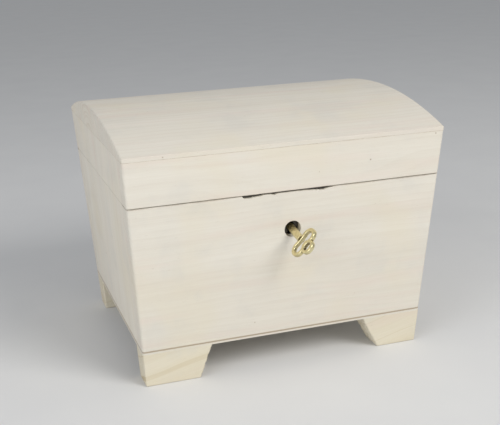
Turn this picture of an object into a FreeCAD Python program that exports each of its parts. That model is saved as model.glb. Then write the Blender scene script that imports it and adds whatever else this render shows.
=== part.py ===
import FreeCAD, Part
import math
import os

# Small wooden money box: a tapered chest on four block feet, with a hinged domed lid,
# a half-mortise lock behind the front board and its key.
# Millimetres. +X is the box's right, +Y its back, +Z up, and z = 0 is the resting plane.
# Shapes are written from the middle of the box. The finished parts are then moved back by
# outline_shift, because the origin is the middle of the whole outline, key included.
# Walls lean outwards towards the top.

doc = FreeCAD.newDocument("MoneyBox")

# ---------------------------------------------------------------- driving sizes
SIZES = [
    ("joint_width", 150.0),      # outside width where lid and body meet
    ("joint_depth", 136.0),      # outside depth where lid and body meet
    ("side_taper", 0.061),       # lean of the left and right faces, mm per mm of height
    ("front_taper", 0.11),       # lean of the front and back faces, mm per mm of height
    ("foot_height", 17.0),
    ("base_thick", 3.0),
    ("joint_height", 89.0),      # top rim of the body
    ("lid_gap", 0.4),            # open joint between body rim and lid
    ("side_rise", 0.28),         # side boards above that rim, where the joint nearly closes
    ("seam_height", 110.2),      # glue line between lid strips and dome block
    ("dome_edge", 2.0),          # straight edge of the dome block above the seam
    ("crest_height", 123.0),     # top of the dome
    ("board_thick", 10.0),
    ("corner_round", 1.2),
    ("dome_round", 1.0),
    ("foot_round", 0.7),
    ("foot_depth", 13.0),        # foot, front to back, at the ground
    ("foot_top_a", 37.3),        # inner end of feet on one diagonal, from the middle, at the top
    ("foot_foot_a", 42.9),       # the same at the ground
    ("foot_top_b", 39.6),        # inner end of feet on the other diagonal, at the top
    ("foot_foot_b", 48.6),       # the same at the ground
    ("slot_width", 34.0),        # coin slot in the back board
    ("slot_height", 4.8),
    ("slot_drop", 14.0),         # slot's centre below the rim
    ("keyhole_x", 1.6),
    ("keyhole_drop", 18.6),      # keyhole's centre below the rim
    ("keyhole_radius", 4.0),
    ("fit_gap", 0.2),            # clearance of fixed metal parts in the wood
    ("run_gap", 0.05),           # radial running clearance of pins
    ("slide_gap", 0.25),         # clearance of sliding lock parts
    ("lock_width", 43.0),
    ("lock_offset", -2.6),       # lock's middle, left of the keyhole
    ("lock_low", 12.5),          # plate below the keyhole
    ("plate_thick", 1.2),
    ("flange_depth", 8.0),
    ("case_width", 33.0),
    ("case_low", 9.5),
    ("case_wall", 0.8),
    ("case_depth", 5.0),
    ("case_high", 16.2),
    ("notch_drop", 0.4),         # lock recess where it breaks out of the front edge
    ("bolt_low", 2.15),          # bolt's lower edge above the keyhole's centre
    ("bolt_tall", 8.0),
    ("bolt_thick", 2.2),
    ("bolt_back", 0.75),         # free space between bolt and lock plate
    ("bolt_right", 12.0),
    ("nose_low", 6.5),
    ("nose_tall", 3.4),
    ("talon_play", 0.85),        # play each side of the key's bit in the bolt's notch
    ("guide_level", 7.0),
    ("guide_left", -1.0),
    ("guide_pitch", 5.6),
    ("guide_radius", 0.9),
    ("tongue_x", -11.5),         # strike tongue's middle, from the keyhole
    ("tongue_width", 6.0),
    ("tongue_thick", 1.6),
    ("tongue_low", 4.2),         # tongue's lower end above the keyhole's centre
    ("tongue_high", 19.2),
    ("tongue_web", 1.5),         # metal left beside the tongue's catch
    ("tongue_clear", 0.8),       # room round the tongue in the lock's flange
    ("strike_screw_x", 17.0),
    ("post_radius", 0.7),
    ("key_lean", 2.5),           # key hanging in its play, degrees
    ("key_angle", 50.6),         # bow's width direction, degrees above the right
    ("stem_radius", 1.75),
    ("key_bore", 1.1),
    ("bit_reach", 3.4),
    ("bit_width", 1.8),
    ("bit_thick", 1.6),
    ("stem_out", 8.6),           # stem between the board's face and the bow
    ("bow_thick", 2.0),
    ("hinge_x", 45.0),
    ("hinge_length", 18.0),
    ("leaf_width", 7.0),
    ("leaf_thick", 0.9),
    ("knuckle_radius", 1.7),
    ("pin_radius", 0.7),
    ("hinge_stand", 0.25),       # knuckle clear of the back face
    ("screw_radius", 0.65),
    ("screw_length", 7.0),
    ("screw_head", 1.35),
    ("head_tall", 0.42),
    ("driver_slot", 0.4),        # slot across a screw's head: width
    ("driver_deep", 0.22),       # and depth
    ("sink_play", 0.03),         # screw head below the face of its plate
    ("pilot_end", 0.3),          # pilot hole beyond the screw's end
    ("hinge_screw_spread", 5.2), # screws to the left and right of a hinge's middle
    ("knuckle_gap", 0.15),       # between neighbouring knuckles
    ("pin_round", 0.2),
    ("lock_screw_inset", 2.4),   # lock screws from the plate's ends
    ("lock_screw_level", 8.5),   # lock screws above and below the keyhole
    ("lock_screw_length", 4.8),
    ("lock_head_tall", 0.8),
    ("plate_high", 17.4),        # lock plate above the keyhole
    ("tongue_sweep", 1.3),       # room before and behind the tongue, which moves on an arc
    ("key_play", 0.45),          # room round the key's stem and bit in the lock case
    ("stem_clear", 0.6),         # stem's end short of the lock plate
    ("stem_lap", 2.3),           # stem inside the bow
    ("bow_round", 0.5),
    ("lobe_radius", 4.0),        # the bow's two side lobes
    ("lobe_out", 5.4),           # side lobes beyond the stem's shoulder
    ("lobe_across", 3.5),        # side lobes from the stem's line
    ("end_lobe_radius", 3.4),
    ("end_lobe_out", 10.2),
    ("bridge_half", 3.4),        # block that joins the lobes
    ("bridge_near", 1.6),
    ("bridge_far", 8.0),
    ("window_radius", 2.3),      # kidney-shaped window across the side lobes
    ("window_out", 5.4),
    ("window_across", 3.5),
    ("neck_near", 3.3),
    ("neck_far", 6.4),
    ("eye_radius", 1.5),         # oval hole in the end lobe
    ("eye_out", 10.2),
    ("eye_across", 0.4),
    ("overrun", 2.0),            # how far cutting tools run past a face
]

sheet = doc.addObject("Spreadsheet::Sheet", "Sizes")
for row, (alias, value) in enumerate(SIZES, start=1):
    sheet.set("A%d" % row, alias)
    sheet.set("B%d" % row, str(value))
    sheet.setAlias("B%d" % row, alias)
doc.recompute()


def size(alias):
    """A driving size, read from the sheet."""
    return float(getattr(sheet, alias))


# ---------------------------------------------------------------- box geometry
def half_x(level):
    """Expression: half the outside width at a height (itself an expression)."""
    return "(Sizes.joint_width/2 + Sizes.side_taper*((%s) - Sizes.joint_height))" % level


def half_y(level):
    """Expression: half the outside depth at a height."""
    return "(Sizes.joint_depth/2 + Sizes.front_taper*((%s) - Sizes.joint_height))" % level


NEAR = 0.01
INSIDE = 0.1
GROUND = "0"
FOOT_TOP = "Sizes.foot_height"
BASE_TOP = "Sizes.foot_height + Sizes.base_thick"
RIM = "Sizes.joint_height"
LID_LOW = "Sizes.joint_height + Sizes.lid_gap"
SEAM = "Sizes.seam_height"
WALL = "Sizes.board_thick"
UPRIGHT = FreeCAD.Rotation(FreeCAD.Vector(1, 0, 0), 90)


def frustum(name, low, high, x_low, x_high, y_low, y_high):
    """Solid between two heights whose section is a rectangle at each of them.

    x_low and x_high are (min, max) expressions at the low and high level; y the same.
    A wedge's own Y runs up and its own Z runs to the front.
    """
    solid = doc.addObject("Part::Wedge", name)
    solid.setExpression("Ymin", low)
    solid.setExpression("Ymax", high)
    solid.setExpression("Xmin", x_low[0])
    solid.setExpression("Xmax", x_low[1])
    solid.setExpression("X2min", x_high[0])
    solid.setExpression("X2max", x_high[1])
    solid.setExpression("Zmin", "-(%s)" % y_low[1])
    solid.setExpression("Zmax", "-(%s)" % y_low[0])
    solid.setExpression("Z2min", "-(%s)" % y_high[1])
    solid.setExpression("Z2max", "-(%s)" % y_high[0])
    solid.Placement = FreeCAD.Placement(FreeCAD.Vector(0, 0, 0), UPRIGHT)
    return solid


def box(name, x_range, y_range, z_range):
    """Block between (min, max) expressions."""
    solid = doc.addObject("Part::Box", name)
    for side, span in (("Length", x_range), ("Width", y_range), ("Height", z_range)):
        solid.setExpression(side, "(%s) - (%s)" % (span[1], span[0]))
    for axis, span in (("x", x_range), ("y", y_range), ("z", z_range)):
        solid.setExpression("Placement.Base." + axis, span[0])
    return solid


def rod(name, radius, length, base, axis):
    """Cylinder with expression sizes, from a base point along an axis."""
    solid = doc.addObject("Part::Cylinder", name)
    solid.setExpression("Radius", radius)
    solid.setExpression("Height", length)
    turn = FreeCAD.Rotation(FreeCAD.Vector(0, 0, 1), axis)
    solid.Placement = FreeCAD.Placement(FreeCAD.Vector(0, 0, 0), turn)
    for key, value in zip("xyz", base):
        solid.setExpression("Placement.Base." + key, value)
    return solid


def fuse(name, solids):
    joined = doc.addObject("Part::MultiFuse", name)
    joined.Shapes = solids
    return joined


def cut(name, base, tools):
    """Base less one or more tools."""
    result = doc.addObject("Part::Cut", name)
    result.Base = base
    result.Tool = tools[0] if len(tools) == 1 else fuse(name + "_tools", tools)
    return result


def common(name, first, second):
    result = doc.addObject("Part::Common", name)
    result.Base = first
    result.Tool = second
    return result


def round_edges(name, base, radius, wanted):
    """Round the edges of base whose middle point passes the test."""
    doc.recompute()
    edges = []
    for number, edge in enumerate(base.Shape.Edges, start=1):
        middle = edge.valueAt((edge.FirstParameter + edge.LastParameter) / 2)
        if wanted(middle, edge):
            edges.append((number, radius, radius))
    rounded = doc.addObject("Part::Fillet", name)
    rounded.Base = base
    rounded.Edges = edges
    return rounded


NODES = []


def keep(solid, label):
    """Make a finished solid a named sub-part, standing in the whole object's frame."""
    solid.Label = label
    solid.setExpression("Placement.Base.y", "Sizes.outline_shift")
    NODES.append(solid)
    return solid


def number(expression):
    """Value of an expression of the driving sizes."""
    return float(sheet.evalExpression(expression))


# ---------------------------------------------------------------- the lock's own frame
# Its origin is the keyhole's centre on the front board's outer face, its Y runs square
# into the leaning board and its Z up along the board.
KEYHOLE_Z = "(Sizes.joint_height - Sizes.keyhole_drop)"
LEAN = math.degrees(math.atan(size("front_taper")))
LOCK = FreeCAD.Placement(
    FreeCAD.Vector(size("keyhole_x"), -number(half_y(KEYHOLE_Z)), number(KEYHOLE_Z)),
    FreeCAD.Rotation(FreeCAD.Vector(1, 0, 0), LEAN),
)
INNER = "(Sizes.board_thick*cos(atan(Sizes.front_taper)))"
PLATE_FACE = "(%s - Sizes.plate_thick)" % INNER
LOCK_LEFT = "(Sizes.lock_offset - Sizes.lock_width/2)"
LOCK_RIGHT = "(Sizes.lock_offset + Sizes.lock_width/2)"
CASE_LEFT = "(Sizes.lock_offset - Sizes.case_width/2)"
CASE_RIGHT = "(Sizes.lock_offset + Sizes.case_width/2)"
CASE_FACE = "(%s - Sizes.case_depth)" % PLATE_FACE
BOLT_REAR = "(%s - Sizes.bolt_back)" % PLATE_FACE
BOLT_FACE = "(%s - Sizes.bolt_thick)" % BOLT_REAR
BOLT_MIDDLE = "(%s - Sizes.bolt_thick/2)" % BOLT_REAR
TONGUE_X = (
    "(Sizes.tongue_x - Sizes.tongue_width/2)",
    "(Sizes.tongue_x + Sizes.tongue_width/2)",
)
# The key's bit leans key_angle to the right at rest and as much to the left when locked,
# so its tip throws the bolt by this much.
TALON_MIDDLE = "(Sizes.bit_reach*cos(Sizes.key_angle*1deg))"
BOLT_TRAVEL = "(2*%s)" % TALON_MIDDLE
TALON_HALF = "(Sizes.bit_thick/2 + Sizes.talon_play)"
TALON_TOP = "(Sizes.bit_reach + Sizes.key_play)"
BOLT_NOSE = "(%s + Sizes.slide_gap)" % TONGUE_X[1]
BOLT_SHOULDER = "(%s + %s)" % (BOLT_NOSE, BOLT_TRAVEL)


def plus(expression, alias):
    return "%s + Sizes.%s" % (expression, alias)


def less(expression, alias):
    return "%s - Sizes.%s" % (expression, alias)


def lock_box(name, x_range, y_range, z_range):
    """Block between (min, max) expressions in the lock's frame."""
    solid = doc.addObject("Part::Box", name)
    for side, span in (("Length", x_range), ("Width", y_range), ("Height", z_range)):
        solid.setExpression(side, "(%s) - (%s)" % (span[1], span[0]))
    base = FreeCAD.Vector(number(x_range[0]), number(y_range[0]), number(z_range[0]))
    solid.Placement = LOCK.multiply(FreeCAD.Placement(base, FreeCAD.Rotation()))
    return solid


def lock_rod(name, radius, x, y_range, z):
    """Cylinder along the lock's Y axis, between two y expressions."""
    solid = doc.addObject("Part::Cylinder", name)
    solid.setExpression("Radius", radius)
    solid.setExpression("Height", "(%s) - (%s)" % (y_range[1], y_range[0]))
    base = FreeCAD.Vector(number(x), number(y_range[0]), number(z))
    turn = FreeCAD.Rotation(FreeCAD.Vector(0, 0, 1), FreeCAD.Vector(0, 1, 0))
    solid.Placement = LOCK.multiply(FreeCAD.Placement(base, turn))
    return solid


UP = FreeCAD.Vector(0, 0, 1)
RIGHTWARD = FreeCAD.Vector(1, 0, 0)

# lock plate screws, in the lock's frame
PLATE_SCREWS = [
    (x, z)
    for x in (plus(LOCK_LEFT, "lock_screw_inset"), less(LOCK_RIGHT, "lock_screw_inset"))
    for z in ("-Sizes.lock_screw_level", "Sizes.lock_screw_level")
]
FLANGE_X = (
    "Sizes.keyhole_x + %s" % LOCK_LEFT,
    "Sizes.keyhole_x + %s" % LOCK_RIGHT,
)
FLANGE_Y = (
    "-Sizes.joint_depth/2 + Sizes.board_thick - Sizes.flange_depth",
    "-Sizes.joint_depth/2 + Sizes.board_thick",
)
FLANGE_Y_MIDDLE = "-Sizes.joint_depth/2 + Sizes.board_thick - Sizes.flange_depth/2"
STRIKE_SCREWS = [
    "Sizes.keyhole_x + Sizes.lock_offset %s Sizes.strike_screw_x" % sign for sign in "-+"
]
LEAF_INNER = "Sizes.joint_depth/2 - Sizes.leaf_width"
HINGE_SCREW_Y = "Sizes.joint_depth/2 - Sizes.leaf_width/2"
HINGE_AXIS_Y = "(Sizes.joint_depth/2 + Sizes.knuckle_radius + Sizes.hinge_stand)"
HINGE_AXIS_Z = "(Sizes.joint_height + Sizes.lid_gap/2)"
HINGES = {"left": "-Sizes.hinge_x", "right": "Sizes.hinge_x"}
HOLE = "Sizes.screw_radius + Sizes.fit_gap/2"
SINK = "Sizes.screw_head + Sizes.fit_gap/2"


def hinge_screw_places():
    """(name, x expression) of the four screws in one row of hinge leaves."""
    places = []
    for side, middle in HINGES.items():
        for sign in "-+":
            x = "%s %s Sizes.hinge_screw_spread" % (middle, sign)
            places.append(("%s%d" % (side, len(places)), x))
    return places


# ---------------------------------------------------------------- boards
def outer_corners(low, high):
    """Test for the upright outside corner edges between two heights."""
    def wanted(middle, edge):
        level = middle.z
        near_x = abs(abs(middle.x) - number(half_x(str(level)))) < NEAR
        near_y = abs(abs(middle.y) - number(half_y(str(level)))) < NEAR
        return near_x and near_y and low + INSIDE < level < high - INSIDE
    return wanted


def long_board(name, side, low, high):
    """Front (side -1) or back (side +1) board of body or lid, corners rounded."""
    faces = []
    for level in (low, high):
        outer = half_y(level)
        if side < 0:
            faces.append(("-%s" % outer, "-%s + %s" % (outer, WALL)))
        else:
            faces.append(("%s - %s" % (outer, WALL), outer))
    spans = [("-%s" % half_x(level), half_x(level)) for level in (low, high)]
    plank = frustum(name + "_plank", low, high, spans[0], spans[1], faces[0], faces[1])
    wanted = outer_corners(number(low), number(high))
    return round_edges(name + "_rounded", plank, size("corner_round"), wanted)


def end_board(name, side, low, high):
    """Left (side -1) or right (side +1) board, held between front and back boards."""
    spans = []
    for level in (low, high):
        outer = half_x(level)
        if side < 0:
            spans.append(("-%s" % outer, "-%s + %s" % (outer, WALL)))
        else:
            spans.append(("%s - %s" % (outer, WALL), outer))
    faces = []
    for level in (low, high):
        inner = "(%s - %s)" % (half_y(level), WALL)
        faces.append(("-%s" % inner, inner))
    return frustum(name + "_plank", low, high, spans[0], spans[1], faces[0], faces[1])


def make_front_board():
    blank = long_board("front", -1, BASE_TOP, RIM)
    above = plus("Sizes.keyhole_drop", "overrun")
    past = plus(INNER, "overrun")
    over_rim = plus(RIM, "overrun")
    tools = [
        lock_rod("keyhole", "Sizes.keyhole_radius", "0", ("-Sizes.overrun", INNER), "0"),
        lock_box(
            "case_mortise",
            (less(CASE_LEFT, "fit_gap"), plus(CASE_RIGHT, "fit_gap")),
            (less(CASE_FACE, "fit_gap"), past),
            ("-Sizes.case_low - Sizes.fit_gap", above),
        ),
        lock_box(
            "plate_mortise",
            (less(LOCK_LEFT, "fit_gap"), plus(LOCK_RIGHT, "fit_gap")),
            (PLATE_FACE, past),
            ("-Sizes.lock_low - Sizes.fit_gap", above),
        ),
        box(
            "flange_recess",
            (less(FLANGE_X[0], "fit_gap"), plus(FLANGE_X[1], "fit_gap")),
            (less(FLANGE_Y[0], "fit_gap"), plus(FLANGE_Y[1], "overrun")),
            (less(RIM, "plate_thick"), over_rim),
        ),
        box(
            "front_notch",
            (less(FLANGE_X[0], "fit_gap"), plus(FLANGE_X[1], "fit_gap")),
            ("-Sizes.joint_depth/2 - Sizes.overrun", FLANGE_Y[0]),
            (less(RIM, "notch_drop"), over_rim),
        ),
    ]
    depth = ("%s - Sizes.lock_screw_length - Sizes.pilot_end" % INNER, past)
    for index, (x, z) in enumerate(PLATE_SCREWS):
        tools.append(lock_rod("plate_pilot%d" % index, HOLE, x, depth, z))
    keep(cut("front_cut", blank, tools), "front_board")


def leaf_recess(name, middle, low, high, y_low):
    reach = "Sizes.hinge_length/2 + Sizes.fit_gap"
    return box(
        name,
        ("%s - (%s)" % (middle, reach), "%s + (%s)" % (middle, reach)),
        (less(y_low, "fit_gap"), "Sizes.joint_depth/2 + Sizes.overrun"),
        (low, high),
    )


def make_back_board():
    blank = long_board("back", 1, BASE_TOP, RIM)
    slot_middle = "(Sizes.joint_height - Sizes.slot_drop)"
    tools = [
        box(
            "coin_slot",
            ("-Sizes.slot_width/2", "Sizes.slot_width/2"),
            (
                "%s - %s - Sizes.overrun" % (half_y(slot_middle), WALL),
                plus(half_y(slot_middle), "overrun"),
            ),
            ("%s - Sizes.slot_height/2" % slot_middle, "%s + Sizes.slot_height/2" % slot_middle),
        )
    ]
    leaf = (less(RIM, "leaf_thick"), plus(RIM, "overrun"))
    for side, middle in HINGES.items():
        tools.append(leaf_recess(side + "_body_recess", middle, leaf[0], leaf[1], LEAF_INNER))
    pilot = "Sizes.screw_length + Sizes.pilot_end"
    for name, x in hinge_screw_places():
        base = (x, HINGE_SCREW_Y, "%s - (%s)" % (RIM, pilot))
        tools.append(rod("body_pilot_" + name, HOLE, plus(pilot, "overrun"), base, UP))
    keep(cut("back_cut", blank, tools), "back_board")


def make_feet():
    inner = {
        "a": ("Sizes.foot_foot_a", "Sizes.foot_top_a"),
        "b": ("Sizes.foot_foot_b", "Sizes.foot_top_b"),
    }
    layout = (
        ("front_left", -1, -1, "a"),
        ("front_right", 1, -1, "b"),
        ("back_left", -1, 1, "b"),
        ("back_right", 1, 1, "a"),
    )
    rear = "(%s - Sizes.foot_depth)" % half_y(GROUND)
    top = size("foot_height")

    def wanted(middle, edge):
        return middle.z < top - INSIDE

    for place, side, end, pattern in layout:
        spans = []
        faces = []
        for level, inside in zip((GROUND, FOOT_TOP), inner[pattern]):
            low_x, high_x = (inside, half_x(level))
            low_y, high_y = (rear, half_y(level))
            spans.append((low_x, high_x) if side > 0 else ("-%s" % high_x, "-%s" % low_x))
            faces.append((low_y, high_y) if end > 0 else ("-%s" % high_y, "-%s" % low_y))
        name = "foot_" + place
        block = frustum(
            name + "_block", GROUND, FOOT_TOP, spans[0], spans[1], faces[0], faces[1]
        )
        keep(round_edges(name + "_cut", block, size("foot_round"), wanted), name)


def make_base():
    spans = [("-%s" % half_x(level), half_x(level)) for level in (FOOT_TOP, BASE_TOP)]
    faces = [("-%s" % half_y(level), half_y(level)) for level in (FOOT_TOP, BASE_TOP)]
    panel = frustum("base", FOOT_TOP, BASE_TOP, spans[0], spans[1], faces[0], faces[1])
    wanted = outer_corners(size("foot_height"), size("foot_height") + size("base_thick"))
    keep(round_edges("base_cut", panel, size("corner_round"), wanted), "base_panel")


def make_end_boards():
    for side, name in ((-1, "left"), (1, "right")):
        keep(end_board(name, side, BASE_TOP, plus(RIM, "side_rise")), name + "_side_board")
        keep(end_board("lid_" + name, side, LID_LOW, SEAM), "lid_%s_strip" % name)


# ---------------------------------------------------------------- lid
def make_lid_front_strip():
    blank = long_board("lid_front", -1, LID_LOW, SEAM)
    tools = [
        box(
            "strike_recess",
            (less(FLANGE_X[0], "fit_gap"), plus(FLANGE_X[1], "fit_gap")),
            (less(FLANGE_Y[0], "fit_gap"), plus(FLANGE_Y[1], "overrun")),
            (less(LID_LOW, "overrun"), plus(LID_LOW, "plate_thick")),
        )
    ]
    for index, x in enumerate(STRIKE_SCREWS):
        base = (x, FLANGE_Y_MIDDLE, LID_LOW)
        depth = "Sizes.screw_length + Sizes.pilot_end"
        tools.append(rod("strike_pilot%d" % index, HOLE, depth, base, UP))
    keep(cut("lid_front_cut", blank, tools), "lid_front_strip")


def make_lid_back_strip():
    blank = long_board("lid_back", 1, LID_LOW, SEAM)
    tools = []
    leaf = (less(LID_LOW, "overrun"), plus(LID_LOW, "leaf_thick"))
    for side, middle in HINGES.items():
        tools.append(leaf_recess(side + "_lid_recess", middle, leaf[0], leaf[1], LEAF_INNER))
    for name, x in hinge_screw_places():
        base = (x, HINGE_SCREW_Y, LID_LOW)
        depth = "Sizes.screw_length + Sizes.pilot_end"
        tools.append(rod("lid_pilot_" + name, HOLE, depth, base, UP))
    keep(cut("lid_back_cut", blank, tools), "lid_back_strip")


def make_dome():
    edge_level = "(Sizes.seam_height + Sizes.dome_edge)"
    rise = "(Sizes.crest_height - %s)" % edge_level
    chord = half_y(edge_level)
    radius = "((%s^2 + %s^2)/(2*%s))" % (chord, rise, rise)
    levels = (SEAM, plus("Sizes.crest_height", "overrun"))
    spans = [("-%s" % half_x(level), half_x(level)) for level in levels]
    faces = [("-%s" % half_y(level), half_y(level)) for level in levels]
    block = frustum("dome_blank", SEAM, levels[1], spans[0], spans[1], faces[0], faces[1])
    length = "2*%s" % half_x(levels[1])
    centre = ("-%s" % half_x(levels[1]), "0", "Sizes.crest_height - %s" % radius)
    barrel = rod("dome_barrel", radius, length, centre, RIGHTWARD)
    shaped = common("dome_shaped", block, barrel)
    seam = size("seam_height")

    def wanted(middle, edge):
        return middle.z > seam + INSIDE and abs(middle.x) > INSIDE

    keep(round_edges("dome_cut", shaped, size("dome_round"), wanted), "dome_block")


# ---------------------------------------------------------------- hinges
def hinge_leaf(side, half, middle):
    """One leaf with its knuckles; the body leaf has two knuckles and the lid leaf one."""
    left = "%s - Sizes.hinge_length/2" % middle
    right = "%s + Sizes.hinge_length/2" % middle
    third = "Sizes.hinge_length/3"
    gap = "Sizes.knuckle_gap"
    if half == "body":
        level = (less(RIM, "leaf_thick"), RIM)
        sink_low = "%s - Sizes.head_tall - Sizes.sink_play" % RIM
        starts = (left, "%s + 2*%s + %s" % (left, third, gap))
        length = "%s - %s" % (third, gap)
    else:
        level = (LID_LOW, plus(LID_LOW, "leaf_thick"))
        sink_low = less(LID_LOW, "overrun")
        starts = ("%s + %s + %s" % (left, third, gap),)
        length = "%s - 2*%s" % (third, gap)
    name = "%s_%s_leaf" % (side, half)
    solids = [box(name + "_plate", (left, right), (LEAF_INNER, "Sizes.joint_depth/2"), level)]
    for index, start in enumerate(starts):
        span = (start, "%s + %s" % (start, length))
        base = (start, HINGE_AXIS_Y, HINGE_AXIS_Z)
        barrel = rod("%s_barrel%d" % (name, index), "Sizes.knuckle_radius", length, base, RIGHTWARD)
        tab = box("%s_tab%d" % (name, index), span, (LEAF_INNER, HINGE_AXIS_Y), level)
        solids += [barrel, tab]
    bore_base = (less(left, "overrun"), HINGE_AXIS_Y, HINGE_AXIS_Z)
    bore_length = "Sizes.hinge_length + 2*Sizes.overrun"
    bore_radius = "Sizes.pin_radius + Sizes.run_gap"
    tools = [rod(name + "_bore", bore_radius, bore_length, bore_base, RIGHTWARD)]
    sink_length = "Sizes.head_tall + Sizes.sink_play + Sizes.overrun"
    for index, sign in enumerate("-+"):
        x = "%s %s Sizes.hinge_screw_spread" % (middle, sign)
        through = (x, HINGE_SCREW_Y, less(level[0], "leaf_thick"))
        tools.append(rod("%s_hole%d" % (name, index), HOLE, "3*Sizes.leaf_thick", through, UP))
        sink = (x, HINGE_SCREW_Y, sink_low)
        tools.append(rod("%s_sink%d" % (name, index), SINK, sink_length, sink, UP))
    keep(cut(name + "_cut", fuse(name + "_blank", solids), tools), "hinge_%s_leaf_%s" % (half, side))


def round_ends(name, solid):
    """Soften both ends of a pin."""
    def wanted(middle, edge):
        return edge.Curve.TypeId == "Part::GeomCircle"
    return round_edges(name, solid, size("pin_round"), wanted)


def make_hinges():
    for side, middle in HINGES.items():
        for half in ("body", "lid"):
            hinge_leaf(side, half, middle)
        base = ("%s - Sizes.hinge_length/2" % middle, HINGE_AXIS_Y, HINGE_AXIS_Z)
        pin = rod("pin_" + side, "Sizes.pin_radius", "Sizes.hinge_length", base, RIGHTWARD)
        keep(round_ends("pin_%s_round" % side, pin), "hinge_pin_" + side)


def upright_screw(name, x, y, head_face, heads_up):
    """Slotted flat-headed screw; head_face is the height of the head's outer face."""
    slot_x = ("%s - Sizes.screw_head" % x, "%s + Sizes.screw_head" % x)
    slot_y = ("%s - Sizes.driver_slot/2" % y, "%s + Sizes.driver_slot/2" % y)
    if heads_up:
        shank_base = less(head_face, "screw_length")
        head_base = less(head_face, "head_tall")
        slot_z = (less(head_face, "driver_deep"), plus(head_face, "overrun"))
    else:
        shank_base = head_face
        head_base = head_face
        slot_z = (less(head_face, "overrun"), plus(head_face, "driver_deep"))
    shank = rod(name + "_shank", "Sizes.screw_radius", "Sizes.screw_length", (x, y, shank_base), UP)
    head = rod(name + "_head", "Sizes.screw_head", "Sizes.head_tall", (x, y, head_base), UP)
    slot = box(name + "_slot", slot_x, slot_y, slot_z)
    return cut(name, fuse(name + "_blank", [shank, head]), [slot])


def group(name, solids, label):
    """Identical loose solids kept together as one sub-part."""
    bundle = doc.addObject("Part::Compound", name)
    bundle.Links = solids
    keep(bundle, label)


def make_hinge_screws():
    rows = (
        ("body", less(RIM, "sink_play"), True),
        ("lid", plus(LID_LOW, "sink_play"), False),
    )
    for row, face, heads_up in rows:
        screws = []
        for name, x in hinge_screw_places():
            screws.append(upright_screw("%s_screw_%s" % (row, name), x, HINGE_SCREW_Y, face, heads_up))
        group(row + "_screw_set", screws, "hinge_screws_" + row)


# ---------------------------------------------------------------- lock
def make_lock_plate():
    height = ("-Sizes.lock_low", "Sizes.plate_high")
    upright = lock_box("plate_upright", (LOCK_LEFT, LOCK_RIGHT), (PLATE_FACE, INNER), height)
    flange = box("plate_flange", FLANGE_X, FLANGE_Y, (less(RIM, "plate_thick"), RIM))
    rim_point = FreeCAD.Vector(0, number(BOLT_MIDDLE), size("keyhole_drop"))
    passing = LOCK.multVec(rim_point).y
    reach = size("tongue_thick") / 2 + size("tongue_sweep")
    tools = [
        box(
            "flange_slot",
            (
                "Sizes.keyhole_x + %s - Sizes.tongue_clear" % TONGUE_X[0],
                "Sizes.keyhole_x + %s + Sizes.tongue_clear" % TONGUE_X[1],
            ),
            (str(passing - reach), str(passing + reach)),
            ("%s - Sizes.plate_thick - Sizes.overrun" % RIM, plus(RIM, "overrun")),
        )
    ]
    through = (less(PLATE_FACE, "overrun"), plus(INNER, "overrun"))
    for index, (x, z) in enumerate(PLATE_SCREWS):
        tools.append(lock_rod("plate_hole%d" % index, HOLE, x, through, z))
    keep(cut("plate_cut", fuse("plate_blank", [upright, flange]), tools), "lock_plate")


def make_lock_case():
    height = ("-Sizes.case_low", "Sizes.case_high")
    shell = lock_box("case_shell", (CASE_LEFT, CASE_RIGHT), (CASE_FACE, PLATE_FACE), height)
    wall = "case_wall"
    through = (less(CASE_FACE, "overrun"), plus(CASE_FACE, "overrun"))
    bit_half = "(Sizes.bit_thick/2 + Sizes.key_play)"
    tools = [
        lock_box(
            "case_hollow",
            (plus(CASE_LEFT, wall), less(CASE_RIGHT, wall)),
            (plus(CASE_FACE, wall), plus(PLATE_FACE, "overrun")),
            ("-Sizes.case_low + Sizes.case_wall", plus("Sizes.case_high", "overrun")),
        ),
        lock_rod("case_keyhole", "Sizes.stem_radius + Sizes.key_play", "0", through, "0"),
        lock_box(
            "case_bit_slot",
            ("-%s" % bit_half, bit_half),
            through,
            ("-Sizes.bit_reach - Sizes.key_play", "0"),
        ),
    ]
    keep(cut("case_cut", shell, tools), "lock_case")


def make_bolt():
    depth = (BOLT_FACE, BOLT_REAR)
    through = (less(BOLT_FACE, "overrun"), plus(BOLT_REAR, "overrun"))
    body_z = ("Sizes.bolt_low", "Sizes.bolt_low + Sizes.bolt_tall")
    body = lock_box("bolt_body", (BOLT_SHOULDER, "Sizes.bolt_right"), depth, body_z)
    nose_x = (BOLT_NOSE, plus(BOLT_SHOULDER, "overrun"))
    nose_z = ("Sizes.nose_low", "Sizes.nose_low + Sizes.nose_tall")
    nose = lock_box("bolt_nose_bar", nose_x, depth, nose_z)
    talon_x = ("%s - %s" % (TALON_MIDDLE, TALON_HALF), "%s + %s" % (TALON_MIDDLE, TALON_HALF))
    talon_z = (less("Sizes.bolt_low", "overrun"), TALON_TOP)
    talon = lock_box("bolt_talon", talon_x, through, talon_z)
    slot_reach = "(Sizes.guide_radius + Sizes.slide_gap)"
    guide_x = (
        "Sizes.guide_left - %s" % slot_reach,
        "Sizes.guide_left + Sizes.guide_pitch + %s + %s" % (BOLT_TRAVEL, slot_reach),
    )
    guide_z = ("Sizes.guide_level - %s" % slot_reach, "Sizes.guide_level + %s" % slot_reach)
    guide = lock_box("bolt_guide", guide_x, through, guide_z)
    keep(cut("bolt_cut", fuse("bolt_blank", [body, nose]), [talon, guide]), "lock_bolt")


def make_lock_studs():
    span = (plus(CASE_FACE, "case_wall"), PLATE_FACE)
    post = lock_rod("key_post_rod", "Sizes.post_radius", "0", span, "0")
    keep(round_ends("key_post_round", post), "key_post")
    studs = []
    for index in range(2):
        x = "Sizes.guide_left + %d*Sizes.guide_pitch" % index
        studs.append(lock_rod("guide_stud%d" % index, "Sizes.guide_radius", x, span, "Sizes.guide_level"))
    group("guide_stud_set", studs, "bolt_guide_studs")


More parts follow.
